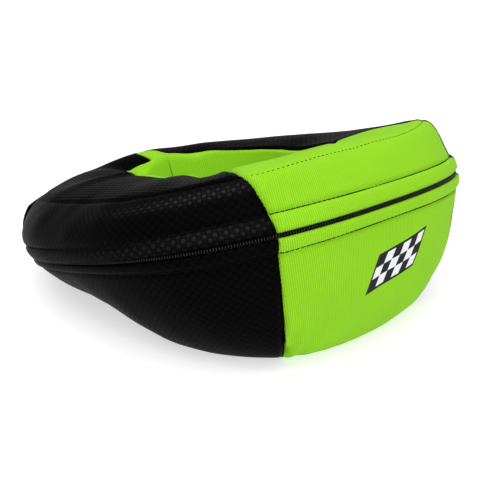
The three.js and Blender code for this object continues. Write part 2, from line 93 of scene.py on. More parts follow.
def section_at(angle):
    """Sizes of the collar's section at each angle, from the table of shares and the two outlines."""
    share = lambda column: curve_through(SECTIONS, column, np.abs(angle))
    outer = outline_radius(angle, HALF_WIDTH, BACK_REACH, FRONT_REACH, OUTLINE_SQUARENESS)
    neck = outline_radius(angle, NECK_HALF_WIDTH, NECK_BACK_REACH, NECK_FRONT_REACH, NECK_SQUARENESS)
    slope = np.cos(np.radians(angle)) * np.tan(REST_TILT)
    dent = sum(DENT_DROP * depth * np.exp(-(((angle - at) / wide) ** 2)) for at, wide, depth in DENTS)
    return {
        "outer": outer, "neck": neck, "edge": outer - EDGE_INSET * share(1), "top": EDGE_HEIGHT * share(2),
        "rim": RIM_HEIGHT * share(3) - dent, "bulge": WALL_BULGE * share(4),
        "foot": outer - (outer - neck - NECK_FLARE - BASE_ROUND) * share(5), "chamfer": share(6), "slope": slope,
        "drop": FLOOR_DROP + outer * slope,
        "gap": ZIP_OPENING / 2 - FOLD_CLOSES * np.clip((np.abs(angle) - FOLD_CLOSES_FROM) / FOLD_CLOSES_OVER, 0, 1),
    }


def floor_height(s, radius):
    """Height of the slanting surface that the collar lies on, below the zip's plane."""
    return -FLOOR_DROP - radius * s["slope"]


def bend(a, corner, b, t):
    """Quadratic curve from a to b, drawn towards the corner: each is a pair (radius, height)."""
    return [(1 - t) ** 2 * p + 2 * t * (1 - t) * q + t**2 * r for p, q, r in zip(a, corner, b)]


def lining_line(s, t):
    """Neck wall from its foot (0) to the rim's rounding (1): flared at the foot, padded between."""
    foot = s["neck"] + NECK_FLARE
    low = floor_height(s, foot) + BASE_ROUND
    height = low + (s["rim"] - RIM_ROUND - low) * t
    return [s["neck"] + NECK_FLARE * (1 - t) ** 2 - NECK_PAD * np.sin(np.pi * t), height]


def rim_line(s, t):
    """Rounding of the rim from the neck wall (0) to its crest (1)."""
    crest = [s["neck"] + RIM_ROUND, s["rim"]]
    return bend([s["neck"], s["rim"] - RIM_ROUND], [s["neck"], s["rim"]], crest, t)


def top_height(s, radius):
    """Height of the top face: a straight line from rim to edge, with half a sine of crown on it."""
    across = (radius - s["neck"] - RIM_ROUND) / (s["edge"] - s["neck"] - RIM_ROUND)
    return s["rim"] + (s["top"] - s["rim"]) * across + TOP_CROWN * np.sin(np.pi * across)


def top_line(s, t):
    """Top face from the rim's crest (0) to the outer edge's rounding (1), slightly crowned."""
    radius = s["neck"] + RIM_ROUND + (s["edge"] - EDGE_ROUND - s["neck"] - RIM_ROUND) * t
    return [radius, top_height(s, radius)]


def upper_wall(s, z):
    """Radius of the wall over the zip: eased from the edge out to the zip, with half a sine of bulge."""
    down = 1 - z / s["top"]
    eased = 1 - (1 - down) ** WALL_EASE
    return s["edge"] + (s["outer"] - s["edge"]) * eased + s["bulge"] * np.sin(np.pi * down)


def edge_line(s, t):
    """Rounding of the outer edge, from the top face (0) to the wall (1)."""
    inner, under = s["edge"] - EDGE_ROUND, s["top"] - EDGE_ROUND
    return bend([inner, top_height(s, inner)], [s["edge"], s["top"]], [upper_wall(s, under), under], t)


def wall_line(s, t):
    """Outer wall from below the edge (0) to the stitched line over the zip (1)."""
    z = s["top"] - EDGE_ROUND + (FLAP_HEIGHT - s["top"] + EDGE_ROUND) * t
    return [upper_wall(s, z), z]


def upper_flap_line(s, t):
    """Fold over the zip, from its stitched line (0) to the zip's opening (1)."""
    z = FLAP_HEIGHT + (s["gap"] - FLAP_HEIGHT) * t
    return [upper_wall(s, z), z + 0 * s["outer"]]


def lower_point(s, turn):
    """Wall below the zip: a quarter oval from the zip (0) to the foot (90 degrees), sheared with the floor."""
    radius = s["outer"] - (s["outer"] - s["foot"]) * (1 - np.cos(turn) ** s["chamfer"])
    return [radius, floor_height(s, radius) + s["drop"] * (1 - np.sin(turn) ** s["chamfer"])]


LARGEST_TURN, HALVINGS = 1.3, 24


def lower_turn(s, z):
    """Turn at which the lower wall reaches height z, found by halving."""
    low, high = np.zeros_like(s["outer"]), np.full_like(s["outer"], LARGEST_TURN)
    for _ in range(HALVINGS):
        middle = (low + high) / 2
        above = lower_point(s, middle)[1] > z
        low, high = np.where(above, middle, low), np.where(above, high, middle)
    return (low + high) / 2


def lower_flap_line(s, t):
    """Fold under the zip, from the zip's opening (0) to its stitched line (1)."""
    z = -s["gap"] - (FLAP_HEIGHT - s["gap"]) * t
    return [lower_point(s, lower_turn(s, z))[0], z + 0 * s["outer"]]


def lower_wall_line(s, t):
    """Outer wall from the stitched line under the zip (0) to the foot, where it meets the floor (1)."""
    start = lower_turn(s, -FLAP_HEIGHT)
    return lower_point(s, start + (np.pi / 2 - start) * t)


def base_line(s, t):
    """Flat underside from the foot of the wall (0) to the rounding at the neck (1)."""
    end = s["neck"] + NECK_FLARE + BASE_ROUND
    radius = s["foot"] + (end - s["foot"]) * t
    return [radius, floor_height(s, radius)]


def base_round_line(s, t):
    """Rounding from the underside (0) up to the foot of the neck wall (1)."""
    foot = s["neck"] + NECK_FLARE
    a = [foot + BASE_ROUND, floor_height(s, foot + BASE_ROUND)]
    return bend(a, [foot, floor_height(s, foot)], [foot, floor_height(s, foot) + BASE_ROUND], t)


def rows_of(stretches, angle_at, shares=None):
    """Grid of (angle, radius, height). Each stretch is a line of the section and its number of rows, and
    shares say which part of the way over the panel it covers, for the angles of a leaning seam."""
    blocks = []
    for k, (line, rows) in enumerate(stretches):
        t = np.linspace(0, 1, rows, endpoint=k == len(stretches) - 1)[:, None]
        low, high = (0, 1) if shares is None else shares[k]
        angle = angle_at(low + (high - low) * t)
        radius, z = line(section_at(angle), t + 0 * angle)
        blocks.append(np.stack([angle, radius, z + 0 * angle], -1))
    return np.concatenate(blocks)


def eased_rows(grid, times, closed=False):
    """The grid with each row drawn towards the mean of its neighbours, to soften where stretches meet."""
    grid = grid.copy()
    for _ in range(times):
        if closed:
            grid[..., 1:] = (np.roll(grid, 1, 0) + 2 * grid + np.roll(grid, -1, 0))[..., 1:] / 4
        else:
            grid[1:-1, :, 1:] = (grid[:-2] + 2 * grid[1:-1] + grid[2:])[..., 1:] / 4
    return grid


def ring_points(grid, end_plane=ARM_GAP / 2):
    """Points of the ring: out from the axis by the radius, at the angle. At the chin they are held
    back to the plane of the arm's end."""
    angle, radius, z = grid[..., 0], grid[..., 1], grid[..., 2]
    x, y = radius * np.sin(np.radians(angle)), radius * np.cos(np.radians(angle))
    side = np.where(angle < 0, -1, 1)
    x = np.where(np.abs(angle) > CHIN_FROM, side * np.maximum(np.abs(x), end_plane), x)
    return np.stack([x, y, z], -1)


def lie_down(points):
    """Points in the frame, in metres: tilted forward by the rest angle and set on the floor."""
    x, y, z = np.moveaxis(points, -1, 0)
    c, s = np.cos(REST_TILT), np.sin(REST_TILT)
    placed = [x + MIDDLE[0], y * c - z * s + MIDDLE[1], y * s + z * c + FLOOR_DROP * c]
    return np.stack(placed, -1) / 1000


def outward(points):
    """Unit normals of a grid of points, from its differences along the columns and down the rows."""
    along, down = np.gradient(points, axis=1), np.gradient(points, axis=0)
    normal = np.cross(along, down)
    return normal / np.maximum(np.linalg.norm(normal, axis=-1, keepdims=True), 1e-9)


def smooth_piece(name, mesh):
    """Object of a mesh, smooth shaded, at the origin of the scene."""
    mesh.polygons.foreach_set("use_smooth", np.ones(len(mesh.polygons), dtype=bool))
    mesh.update()
    piece = bpy.data.objects.new(name, mesh)
    bpy.context.scene.collection.objects.link(piece)
    return piece


WELD_WITHIN = 0.000001


def grid_mesh(name, points, uv=None, closed_rows=False, caps=False, weld=False):
    """Piece from a grid of points in millimetres, with its UV map in millimetres. A welded one has its
    doubled points merged where its edges meet, and then its faces turned outwards."""
    rows, columns = points.shape[:2]
    index = np.arange(rows * columns).reshape(rows, columns)
    if closed_rows:
        index = np.vstack([index, index[:1]])
    quads = np.stack([index[:-1, :-1], index[:-1, 1:], index[1:, 1:], index[1:, :-1]], -1).reshape(-1, 4)
    faces = quads.tolist()
    if caps:
        faces += [index[:-1, 0].tolist(), index[:-1, -1][::-1].tolist()]
    mesh = bpy.data.meshes.new(name)
    mesh.from_pydata(lie_down(points).reshape(-1, 3).tolist(), [], faces)
    if uv is not None:
        layer = mesh.uv_layers.new(name="cloth")
        corners = np.zeros(len(mesh.loops), dtype=np.int32)
        mesh.loops.foreach_get("vertex_index", corners)
        layer.data.foreach_set("uv", uv.reshape(-1, 2)[corners].astype(np.float32).ravel())
    if weld:
        shell = bmesh.new()
        shell.from_mesh(mesh)
        bmesh.ops.remove_doubles(shell, verts=shell.verts, dist=WELD_WITHIN)
        bmesh.ops.recalc_face_normals(shell, faces=shell.faces)
        shell.to_mesh(mesh)
        shell.free()
    return smooth_piece(name, mesh)


def shader(name, base, roughness, specular=0.5, sheen=0.0):
    """New material with one Principled shader. Returns the material, its nodes, links and the shader."""
    material = bpy.data.materials.new(name)
    material.use_nodes = True
    nodes, links = material.node_tree.nodes, material.node_tree.links
    principled = nodes["Principled BSDF"]
    principled.inputs["Base Color"].default_value = (*base, 1)
    principled.inputs["Roughness"].default_value = roughness
    principled.inputs["Specular IOR Level"].default_value = specular
    principled.inputs["Sheen Weight"].default_value = sheen
    return material, nodes, links, principled


def grain(nodes, links, kind, scale):
    """Texture node of a kind, in the piece's own place (Object coordinates), at a scale."""
    texture, place = nodes.new(f"ShaderNodeTex{kind}"), nodes.new("ShaderNodeTexCoord")
    texture.inputs["Scale"].default_value = scale
    links.new(place.outputs["Object"], texture.inputs["Vector"])
    return texture


def bump(nodes, links, principled, height, distance):
    """Relief for the shader: the height's socket, raised by a distance in metres."""
    node = nodes.new("ShaderNodeBump")
    node.inputs["Distance"].default_value = distance
    links.new(height, node.inputs["Height"])
    links.new(node.outputs["Normal"], principled.inputs["Normal"])
    return node


FOAM_INSET, FOAM_END, FOAM_COLUMNS, FOAM_EASING = 3.4, 2.8, 260, 3
FOAM_COLOUR, FOAM_CELLS, FOAM_RELIEF = (0.49, 0.47, 0.42), 900, 0.0006
foam_angles = np.linspace(-180, 180, FOAM_COLUMNS + 1)
foam_loop = [(lining_line, 14), (rim_line, 4), (top_line, 14), (edge_line, 5), (wall_line, 6), (upper_flap_line, 5),
             (lower_flap_line, 5), (lower_wall_line, 20), (base_line, 8), (base_round_line, 5)]
foam_grid = eased_rows(rows_of(foam_loop, lambda share: foam_angles + 0 * share)[:-1], FOAM_EASING, closed=True)
foam_points = ring_points(foam_grid, FOAM_END)
foam_points -= FOAM_INSET * outward(np.concatenate([foam_points, foam_points[:1]]))[:-1]
foam_points[:, [0, -1]] = foam_points[:, [1, -2]] * [0, 1, 1] + [[-FOAM_END, 0, 0], [FOAM_END, 0, 0]]
foam_ring = grid_mesh("foam_ring", foam_points, closed_rows=True, caps=True)

foam, nodes, links, principled = shader("open_cell_foam", FOAM_COLOUR, 0.95, 0.1)
bump(nodes, links, principled, grain(nodes, links, "Voronoi", FOAM_CELLS).outputs["Distance"], FOAM_RELIEF)
foam_ring.data.materials.append(foam)
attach(foam_ring, "root")
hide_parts("foam_core")

# Black side covers: embossed coated cloth with a carbon look, sewn to the green back part and
# folded over beside the zip, where a line of stitches holds the fold down. Top and wall are
# two cuts of the cloth that meet in a seam along the outer edge.
COVER_COLUMNS, COVER_EASING, CLOTH_THICKNESS = 260, 6, 0.0012
# radius that turns an angle into millimetres of cloth round the wall
CLOTH_RADIUS = 125.0
# rows of a cover down to the seam along the outer edge
EDGE_SEAM_ROW = 38
# the top's cut has its own place on the UV map, ridges this far apart and this much deeper than the cells
TOP_CUT_OFFSET, TOP_RIB, TOP_RIDGE = 1000.0, 3.4, 4.0
# share of the way over the panel, then the angle from the back of the right and the left seam
UPPER_SEAMS = np.array([[0, 43.5, 39], [0.3, 40.5, 35], [0.55, 39.5, 32.6], [0.7, 39.5, 30.9],
                        [0.8, 42, 30.6], [1, 42, 30]])
LOWER_SEAMS = np.array([[0, 42, 30], [0.15, 42, 30.4], [0.3, 36, 31], [0.8, 35.5, 33.2], [1, 35.5, 33.8]])
# share of the way over the panel that each stretch of its section covers
UPPER_SHARES = ((0, 3 / 11), (3 / 11, 6 / 11), (6 / 11, 8 / 11), (8 / 11, 1))
LOWER_SHARES = ((0, 0.2), (0.2, 0.8), (0.8, 0.92), (0.92, 1))
# angle from the back, then how far the slack cloth under the zip lies outside the even shape,
# and where it begins below the zip
SLACK = np.array([[-180, 0], [-75, 0], [-35, -1.6], [0, -0.6], [35, 0], [115, 0], [145, -1.4],
                  [168, -0.6], [180, 0]])
SLACK_FROM, SLACK_OVER = 12, 18
# the outer edge stands a little fuller at the right of the back: height, reach across it, and the
# angle's middle and width
EDGE_SWELL, SWELL_REACH, SWELL_ANGLE = 2.4, 9, (-48.0, 16.0)
# angle from the back, then how far the green's stitched line runs below the outer edge
EDGE_STITCH_DROP = np.array([[-180, 0], [-46, -3], [-30, -1.6], [-19, 0.8], [-8, 1.7], [4, 1.8],
                             [14, 0.8], [24, 0.8], [34, 0], [180, 0]])
# the fold beside the zip stands proud, and keeps this share of it past the angles where it fades
FLAP_PROUD, FLAP_LEAST, FLAP_FADE = 2.2, 0.35, (85.0, 120.0)
# angle from the back, then the stitched line's distance from the zip's edge, above and below it
STITCHED = np.array([[0, 10.8, 7.6], [40, 10.8, 8.6], [70, 9.2, 7.0], [100, 8.4, 6.4], [180, 8.4, 6.4]])
# depth and half width of each groove: at the stitched line, the tuck at the zip, the tuck at the
# panel's far edge or at the chin, the seam between panels and the seam along the outer edge
STITCHED_GROOVE, ZIP_TUCK, END_TUCK = (1.1, 1.5), (1.7, 0.8), (1.4, 1.6)
SEAM_GROOVE, EDGE_GROOVE = (1.5, 1.8), (0.8, 1.3)
# the cloth rolls up beside a seam: its distance, then height and half width
SEAM_ROLL_AT, SEAM_ROLL = 4, (0.35, 2.5)
# each stitch draws the cloth in: height and half width, at the folds and at the seams
STITCH_PITCH, FOLD_PULL = 3.2, (0.16, 2.4)
SEAM_PULL_PITCH, SEAM_PULL_AT, SEAM_PULL = 3.4, 1.5, (0.1, 1.5)
# puckers at the foot of the green back, by its left and right seam: height, lean, length and reach
PUCKERS_FROM, PUCKERS_OVER = 35, 30
PUCKERS = ((1.9, 0.45, 13, 16), (0.25, 0.5, 15, 14))
# ripples start beside the zip, and calm down on the top face; all relief fades towards the floor
RIPPLES_OVER, CALM_SHARE, CALM_FROM, CALM_OVER, FLOOR_FADE = 20, 0.8, 40, 12, 9
# where the top cloth is sewn to the lining, round the neck from the chin: share of the rim's
# rounding (below 0) or of the top face (above 0)
RIM_EDGE = np.array([
    [-180, 0.85], [-178.6, 0.7], [-177.4, 0.15], [-175, 0.02], [-160, 0.05], [-145, -0.35], [-120, -0.5],
    [-80, -0.5], [-55, -0.2], [-38, -0.05], [0, 0], [38, 0], [140, 0], [148, 0.06], [154, 0.12], [159, 0.22],
    [164, 0.17], [168, 0.0], [170, -0.12], [172, 0.1], [173.5, 0.45], [175.5, 0.75], [180, 0.85],
])


def rim_edge_at(angle):
    """Share of the rim's rounding (below 0) or of the top face (above 0) where the lining ends."""
    return curve_through(RIM_EDGE, 1, angle)


def rim_or_top(s, w):
    """Line over the rim: its rounding for w from -1 to 0, the top face for w from 0 to 1."""
    rim, top = rim_line(s, np.clip(1 + w, 0, 1)), top_line(s, np.clip(w, 0, 1))
    return [np.where(w < 0, a, b) for a, b in zip(rim, top)]


def ripples(u, v, waves):
    """Sum of long soft sine waves over the cloth: each is (height, length along, length down, phase)."""
    return sum(height * np.sin(2 * np.pi * (u / along + v / down) + phase)
               for height, along, down, phase in waves)


def distances(points, axis):
    """Distance along the rows or columns of a grid, measured on the surface, from its first point."""
    step = np.linalg.norm(np.diff(points, axis=axis), axis=-1)
    zero = np.zeros_like(np.take(step, [0], axis))
    return np.concatenate([zero, np.cumsum(step, axis)], axis)


def groove(distance, depth, width):
    """Push of a soft groove at a distance from its line: a bell curve, inwards."""
    return -depth * np.exp(-((distance / width) ** 2))


def cover_grid(level, first, last, columns):
    """Fine grid of one cover panel between two sides, each "right" or "left" for a leaning seam, or an
    angle: the angle goes evenly from side to side, and the rows go down the ring's section."""
    def side(name, share):
        """Angle of a side at each share of the way over the panel."""
        seams = UPPER_SEAMS if level == "upper" else LOWER_SEAMS
        if name == "right":
            return -curve_through(seams, 1, share)
        return curve_through(seams, 2, share) if name == "left" else name + 0 * share

    across = np.linspace(0, 1, columns + 1)[None, :]

    def angle_at(share):
        """Angles of a row: even steps from the first side to the last one."""
        return side(first, share) + (side(last, share) - side(first, share)) * across

    def over_rim(s, t):
        """Line from the lining's edge (0) over the rim and the top face to the outer edge (1)."""
        start = rim_edge_at(angle_at(UPPER_SHARES[0][1] * t[:, :1]))
        return rim_or_top(s, start + (1 - start) * t)

    if level == "upper":
        stretches = [(over_rim, 34), (edge_line, 12), (wall_line, 15), (upper_flap_line, 12)]
        grid = rows_of(stretches, angle_at, UPPER_SHARES)
    else:
        stretches = [(lower_flap_line, 12), (lower_wall_line, 48), (base_line, 10), (base_round_line, 8)]
        grid = rows_of(stretches, angle_at, LOWER_SHARES)
    return eased_rows(grid, COVER_EASING)


def stitch_pull(distance, along, pitch, height, half_width):
    """Push of a row of stitches: a cosine along the row, under a bell curve across it."""
    return height * np.cos(2 * np.pi * along / pitch) * np.exp(-((distance / half_width) ** 2))


def cover_panel(name, level, first, last, columns, material, material_slot, waves):
    """Sewn cover panel: its grid, pushed in or out along the normals by the sum of soft ripples, the fold
    beside the zip, grooves at the stitched lines and tucks at its edges; then given the cloth's thickness."""
    grid = cover_grid(level, first, last, columns)
    points = ring_points(grid)
    normal = outward(points)
    angle = grid[..., 0]
    away = distances(points, 0)
    from_zip = away[-1:] - away if level == "upper" else away
    from_end = away if level == "upper" else away[-1:] - away
    from_first = distances(points, 1)
    from_last = from_first[:, -1:] - from_first
    u = np.radians(angle) * CLOTH_RADIUS

    stitched = curve_through(STITCHED, 1 if level == "upper" else 2, np.abs(angle))
    fade = 1 - np.clip((np.abs(angle) - FLAP_FADE[0]) / (FLAP_FADE[1] - FLAP_FADE[0]), 0, 1)
    across = np.clip(from_zip / stitched, 0, 1)
    proud = FLAP_PROUD * (FLAP_LEAST + (1 - FLAP_LEAST) * fade) * np.sqrt(np.clip(1 - across**3, 0, 1))
    calm = 1 - CALM_SHARE * np.clip((from_zip - CALM_FROM) / CALM_OVER, 0, 1) if level == "upper" else 1
    push = proud + ripples(u, from_zip, waves) * np.clip(from_zip / RIPPLES_OVER, 0, 1) * calm
    push += groove(from_zip - stitched, *STITCHED_GROOVE)
    push += stitch_pull(from_zip - stitched, u, STITCH_PITCH, *FOLD_PULL)
    push += groove(from_zip, *ZIP_TUCK) + groove(from_end, *END_TUCK)
    for seam, distance in ((first, from_first), (last, from_last)):
        if seam in ("right", "left"):
            push += groove(distance, *SEAM_GROOVE) - groove(distance - SEAM_ROLL_AT, *SEAM_ROLL)
            push += stitch_pull(distance - SEAM_PULL_AT, from_zip, SEAM_PULL_PITCH, *SEAM_PULL)
        else:
            push += groove(distance, *END_TUCK)

    if level == "upper":
        from_edge = away - away[EDGE_SEAM_ROW:EDGE_SEAM_ROW + 1] - curve_through(EDGE_STITCH_DROP, 1, angle)
        swell_at = (angle - SWELL_ANGLE[0]) / SWELL_ANGLE[1]
        push += groove(from_edge, *EDGE_GROOVE)
        push += EDGE_SWELL * np.exp(-(swell_at**2) - (from_edge / SWELL_REACH) ** 2)
    else:
        if first == "right":
            low = np.clip((from_zip - PUCKERS_FROM) / PUCKERS_OVER, 0, 1)
            for distance, (height, lean, length, reach) in zip((from_last, from_first), PUCKERS):
                fold = np.sin(2 * np.pi * (distance + lean * from_zip) / length)
                push += height * low * fold * np.exp(-distance / reach)
        above_floor = lie_down(points)[..., 2] * 1000
        push *= np.clip(above_floor / FLOOR_FADE, 0, 1)
        push += curve_through(SLACK, 1, angle) * np.clip((from_zip - SLACK_FROM) / SLACK_OVER, 0, 1)
    points = points + normal * push[..., None]

    uv = np.stack([u, from_zip], -1)
    if level == "upper" and material_slot == "black_vinyl":
        uv[:EDGE_SEAM_ROW + 1] = (points[..., [1, 0]] + [0, TOP_CUT_OFFSET])[:EDGE_SEAM_ROW + 1]
    piece = grid_mesh(name, points, uv)
    wall = piece.modifiers.new("cloth thickness", "SOLIDIFY")
    wall.thickness, wall.offset = CLOTH_THICKNESS, -1
    piece.data.materials.append(material)
    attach(piece, "root")
    return {"piece": piece, "points": points, "normal": normal, "from_zip": from_zip, "angle": angle, "away": away}


def pattern_uv(nodes, links, scale=1.0):
    """The cloth's own UV map in millimetres, times a scale."""
    uv = nodes.new("ShaderNodeUVMap")
    uv.uv_map = "cloth"
    mapping = nodes.new("ShaderNodeMapping")
    mapping.inputs["Scale"].default_value = (scale, scale, scale)
    links.new(uv.outputs["UV"], mapping.inputs["Vector"])
    return mapping.outputs["Vector"]


def calculator(nodes, links):
    """Function that adds one Math node to a material, on up to three numbers or sockets."""
    def step(operation, *values):
        """Socket of the operation's result."""
        node = nodes.new("ShaderNodeMath")
        node.operation = operation
        for socket, value in zip(node.inputs, values):
            if isinstance(value, (int, float)):
                socket.default_value = value
            else:
                links.new(value, socket)
        return node.outputs["Value"]
    return step


def split(nodes, links, vector):
    """The first two numbers of a vector's socket, each as a socket."""
    parts = nodes.new("ShaderNodeSeparateXYZ")
    links.new(vector, parts.inputs[0])
    return parts.outputs[0], parts.outputs[1]


def colour_mix(nodes, links, factor, dark, light):
    """Colour between two, each a colour or a socket, by a factor's socket."""
    node = nodes.new("ShaderNodeMix")
    node.data_type = "RGBA"
    links.new(factor, node.inputs["Factor"])
    for socket, value in ((node.inputs[6], dark), (node.inputs[7], light)):
        if isinstance(value, tuple):
            socket.default_value = (*value, 1)
        else:
            links.new(value, socket)
    return node.outputs[2]


CELL_SIZE, CELL_ROUND, HIGH_CELL, LOW_CELL, EMBOSS_DEPTH = 2.5, 0.5, 0.75, 0.5, 0.00022
EMBOSS_STRENGTH, VINYL_SPECULAR, BAND_GLOSS, TOP_DULLER = 0.2, 0.015, 0.17, 0.66
LOW_BLACK, HIGH_BLACK = (0.0007, 0.0007, 0.0008), (0.0016, 0.0016, 0.0018)
LOW_ROUGHNESS, HIGH_SMOOTHER = 0.5, -0.06
# the deep bands beside the seams: distance from the zip and half width; they are strongest at this
# distance from the middle of the back, over this half width
SEAM_BANDS, BANDS_AT, BANDS_OVER = ((5.5, 3.0), (29.0, 3.2)), 102.0, 40.0


def embossed_vinyl(name, bands=()):
    """Black coated cloth with a carbon look: square cells, each the root of a sine by a sine, in a chequer of
    higher and lower ones, and plain ridges on the top's cut. The relief is faint, and deeper in the bands."""
    material, nodes, links, principled = shader(name, HIGH_BLACK, LOW_ROUGHNESS, VINYL_SPECULAR)
    step = calculator(nodes, links)

    def half_waves(value):
        """Size of a sine: one hump for each whole number."""
        return step("ABSOLUTE", step("SINE", step("MULTIPLY", value, np.pi)))

    def bell(value, at, half_width):
        """1 at its middle, falling off as e to the power of minus the distance squared."""
        share = step("DIVIDE", step("SUBTRACT", value, at), half_width)
        return step("POWER", np.e, step("MULTIPLY", step("POWER", share, 2.0), -1.0))

    cell_uv = pattern_uv(nodes, links, 1 / CELL_SIZE)
    u, v = split(nodes, links, cell_uv)
    checks = nodes.new("ShaderNodeTexChecker")
    checks.inputs["Scale"].default_value = 1.0
    links.new(cell_uv, checks.inputs["Vector"])
    high = checks.outputs["Fac"]
    pillow = step("POWER", step("MULTIPLY", half_waves(u), half_waves(v)), CELL_ROUND)
    raised = step("MULTIPLY", pillow, step("MULTIPLY_ADD", high, HIGH_CELL, LOW_CELL))

    along, from_zip = split(nodes, links, pattern_uv(nodes, links))
    on_top = step("GREATER_THAN", from_zip, TOP_CUT_OFFSET / 2)
    ridges = step("MULTIPLY", half_waves(step("DIVIDE", from_zip, TOP_RIB)), TOP_RIDGE)
    chosen = nodes.new("ShaderNodeMix")
    for socket, value in zip((0, 2, 3), (on_top, raised, ridges)):
        links.new(value, chosen.inputs[socket])
    relief = bump(nodes, links, principled, chosen.outputs[0], EMBOSS_DEPTH)
    relief.inputs["Strength"].default_value = EMBOSS_STRENGTH

    if bands:
        banded = 0.0
        for at, half_width in bands:
            banded = step("ADD", bell(from_zip, at, half_width), banded)
        banded = step("MULTIPLY", banded, bell(step("ABSOLUTE", along), BANDS_AT, BANDS_OVER))
        links.new(step("ADD", banded, EMBOSS_STRENGTH), relief.inputs["Strength"])
        gloss = step("MULTIPLY", step("MULTIPLY", banded, raised), BAND_GLOSS)
        duller = step("SUBTRACT", 1.0, step("MULTIPLY", on_top, TOP_DULLER))
        shine = step("MULTIPLY", step("ADD", gloss, VINYL_SPECULAR), duller)
        links.new(shine, principled.inputs["Specular IOR Level"])
    links.new(colour_mix(nodes, links, high, LOW_BLACK, HIGH_BLACK), principled.inputs["Base Color"])
    links.new(step("ADD", step("MULTIPLY", high, HIGH_SMOOTHER), LOW_ROUGHNESS), principled.inputs["Roughness"])
    return material


WALL_WAVES = ((0.2, 61, 90, 0.4), (0.14, 37, -70, 1.9), (0.08, 23, 60, 4.0))
black_vinyl = embossed_vinyl("black_carbon_look_vinyl")
banded_vinyl = embossed_vinyl("black_carbon_look_vinyl_deep_beside_seams", SEAM_BANDS)
covers = {}
for side, first, last in (("left", "left", 180), ("right", -180, "right")):
    for level in ("upper", "lower"):
        name = f"{level}_side_{side}"
        cloth = banded_vinyl if level == "upper" else black_vinyl
        covers[name] = cover_panel(
            f"{name}_cover", level, first, last, COVER_COLUMNS, cloth, "black_vinyl", WALL_WAVES)
        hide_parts(name)

# Green back covers: fluorescent woven polyester with fine upright ribs, above and below the zip.
# They are sewn to the black covers in a seam that leans forward above the zip.
GREEN, PLAIN_RIB, THREAD_SHARE, THREAD_RELIEF, WEAVE_DEPTH = (0.272, 0.625, 0.0155), 1.15, 0.6, 0.4, 0.00012
# painted shade in the grooves between ribs, and the patches of deeper and paler cloth, as shares of its colour
RIB_GROOVE_PAINTED_SHADE, DEEP_PATCH, PALE_PATCH, PATCH_SCALE = 0.74, 0.86, 1.06, 0.03


def ribbed_cloth(name, base, rib=PLAIN_RIB):
    """Woven cloth with upright ribs: a sine across the ribs, crossed by the finer filling threads."""
    material, nodes, links, principled = shader(name, base, 0.85, 0.08, 0.02)
    step = calculator(nodes, links)

    def sine(value, length):
        """Sine of a length, from 0 to 1."""
        return step("MULTIPLY_ADD", step("SINE", step("MULTIPLY", value, 2 * np.pi / length)), 0.5, 0.5)

    uv = pattern_uv(nodes, links)
    u, v = split(nodes, links, uv)
    ribs, threads = sine(u, rib), sine(v, rib * THREAD_SHARE)
    bump(nodes, links, principled, step("MULTIPLY_ADD", threads, THREAD_RELIEF, ribs), WEAVE_DEPTH)
    noise = nodes.new("ShaderNodeTexNoise")
    noise.inputs["Scale"].default_value = PATCH_SCALE
    links.new(uv, noise.inputs["Vector"])
    shares = (DEEP_PATCH, PALE_PATCH, RIB_GROOVE_PAINTED_SHADE)
    deep, pale, between = (tuple(min(c * share, 1) for c in base) for share in shares)
    worn = colour_mix(nodes, links, noise.outputs["Fac"], deep, pale)
    # the grooves between the ribs get a darker colour: painted shade, on top of the bump's own shading
    links.new(colour_mix(nodes, links, ribs, between, worn), principled.inputs["Base Color"])
    return material


PRINT_CENTRE, PRINT_SIZE, PRINT_EDGE = (-9.5, 37.0), (38.0, 18.0), 1.6
PRINT_LEAN, PRINT_CHECKS = (0.12, 0.5), (6, 3)
CHARCOAL_INK, WHITE_INK = (0.016, 0.016, 0.018), (0.74, 0.74, 0.76)


def printed_cloth(name, base):
    """The ribbed cloth with a plain chequered print: a leaning block of white and charcoal squares in a
    charcoal edge. Its own two axes are the cloth's, turned round its centre by shares of each other."""
    material = ribbed_cloth(name, base)
    nodes, links = material.node_tree.nodes, material.node_tree.links
    base_colour = nodes["Principled BSDF"].inputs["Base Color"]
    step = calculator(nodes, links)

    def block(past):
        """1 inside the print, or inside its edge where past is above 0."""
        inside = [step("LESS_THAN", step("ABSOLUTE", value), length / 2 + past)
                  for value, length in zip((leaned, level), PRINT_SIZE)]
        return step("MULTIPLY", *inside)

    u, v = split(nodes, links, pattern_uv(nodes, links))
    up, right = step("SUBTRACT", PRINT_CENTRE[1], v), step("SUBTRACT", PRINT_CENTRE[0], u)
    level = step("SUBTRACT", up, step("MULTIPLY", right, PRINT_LEAN[0]))
    leaned = step("SUBTRACT", right, step("MULTIPLY", level, PRINT_LEAN[1]))
    place = nodes.new("ShaderNodeCombineXYZ")
    for socket, value, length, count in zip((0, 1), (leaned, level), PRINT_SIZE, PRINT_CHECKS):
        links.new(step("MULTIPLY_ADD", value, count / length, count / 2), place.inputs[socket])
    squares = nodes.new("ShaderNodeTexChecker")
    squares.inputs["Scale"].default_value = 1.0
    links.new(place.outputs[0], squares.inputs["Vector"])
    white = step("MULTIPLY", squares.outputs["Fac"], block(0))
    ink = colour_mix(nodes, links, white, CHARCOAL_INK, WHITE_INK)
    links.new(colour_mix(nodes, links, block(PRINT_EDGE), base_colour.links[0].from_socket, ink), base_colour)
    return material


BACK_COLUMNS = 150
BACK_WAVES = ((0.25, 55, 80, 0.9), (0.18, 33, -60, 2.2), (0.15, 90, 38, 5.0))
green_cloth = ribbed_cloth("fluorescent_green_cloth", GREEN)
printed_green = printed_cloth("fluorescent_green_cloth_with_print", GREEN)
for level, cloth in (("upper", green_cloth), ("lower", printed_green)):
    name = f"{level}_back_panel"
    covers[name] = cover_panel(
        f"{name}_cover", level, "right", "left", BACK_COLUMNS, cloth, "green_cloth", BACK_WAVES)
    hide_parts(name)
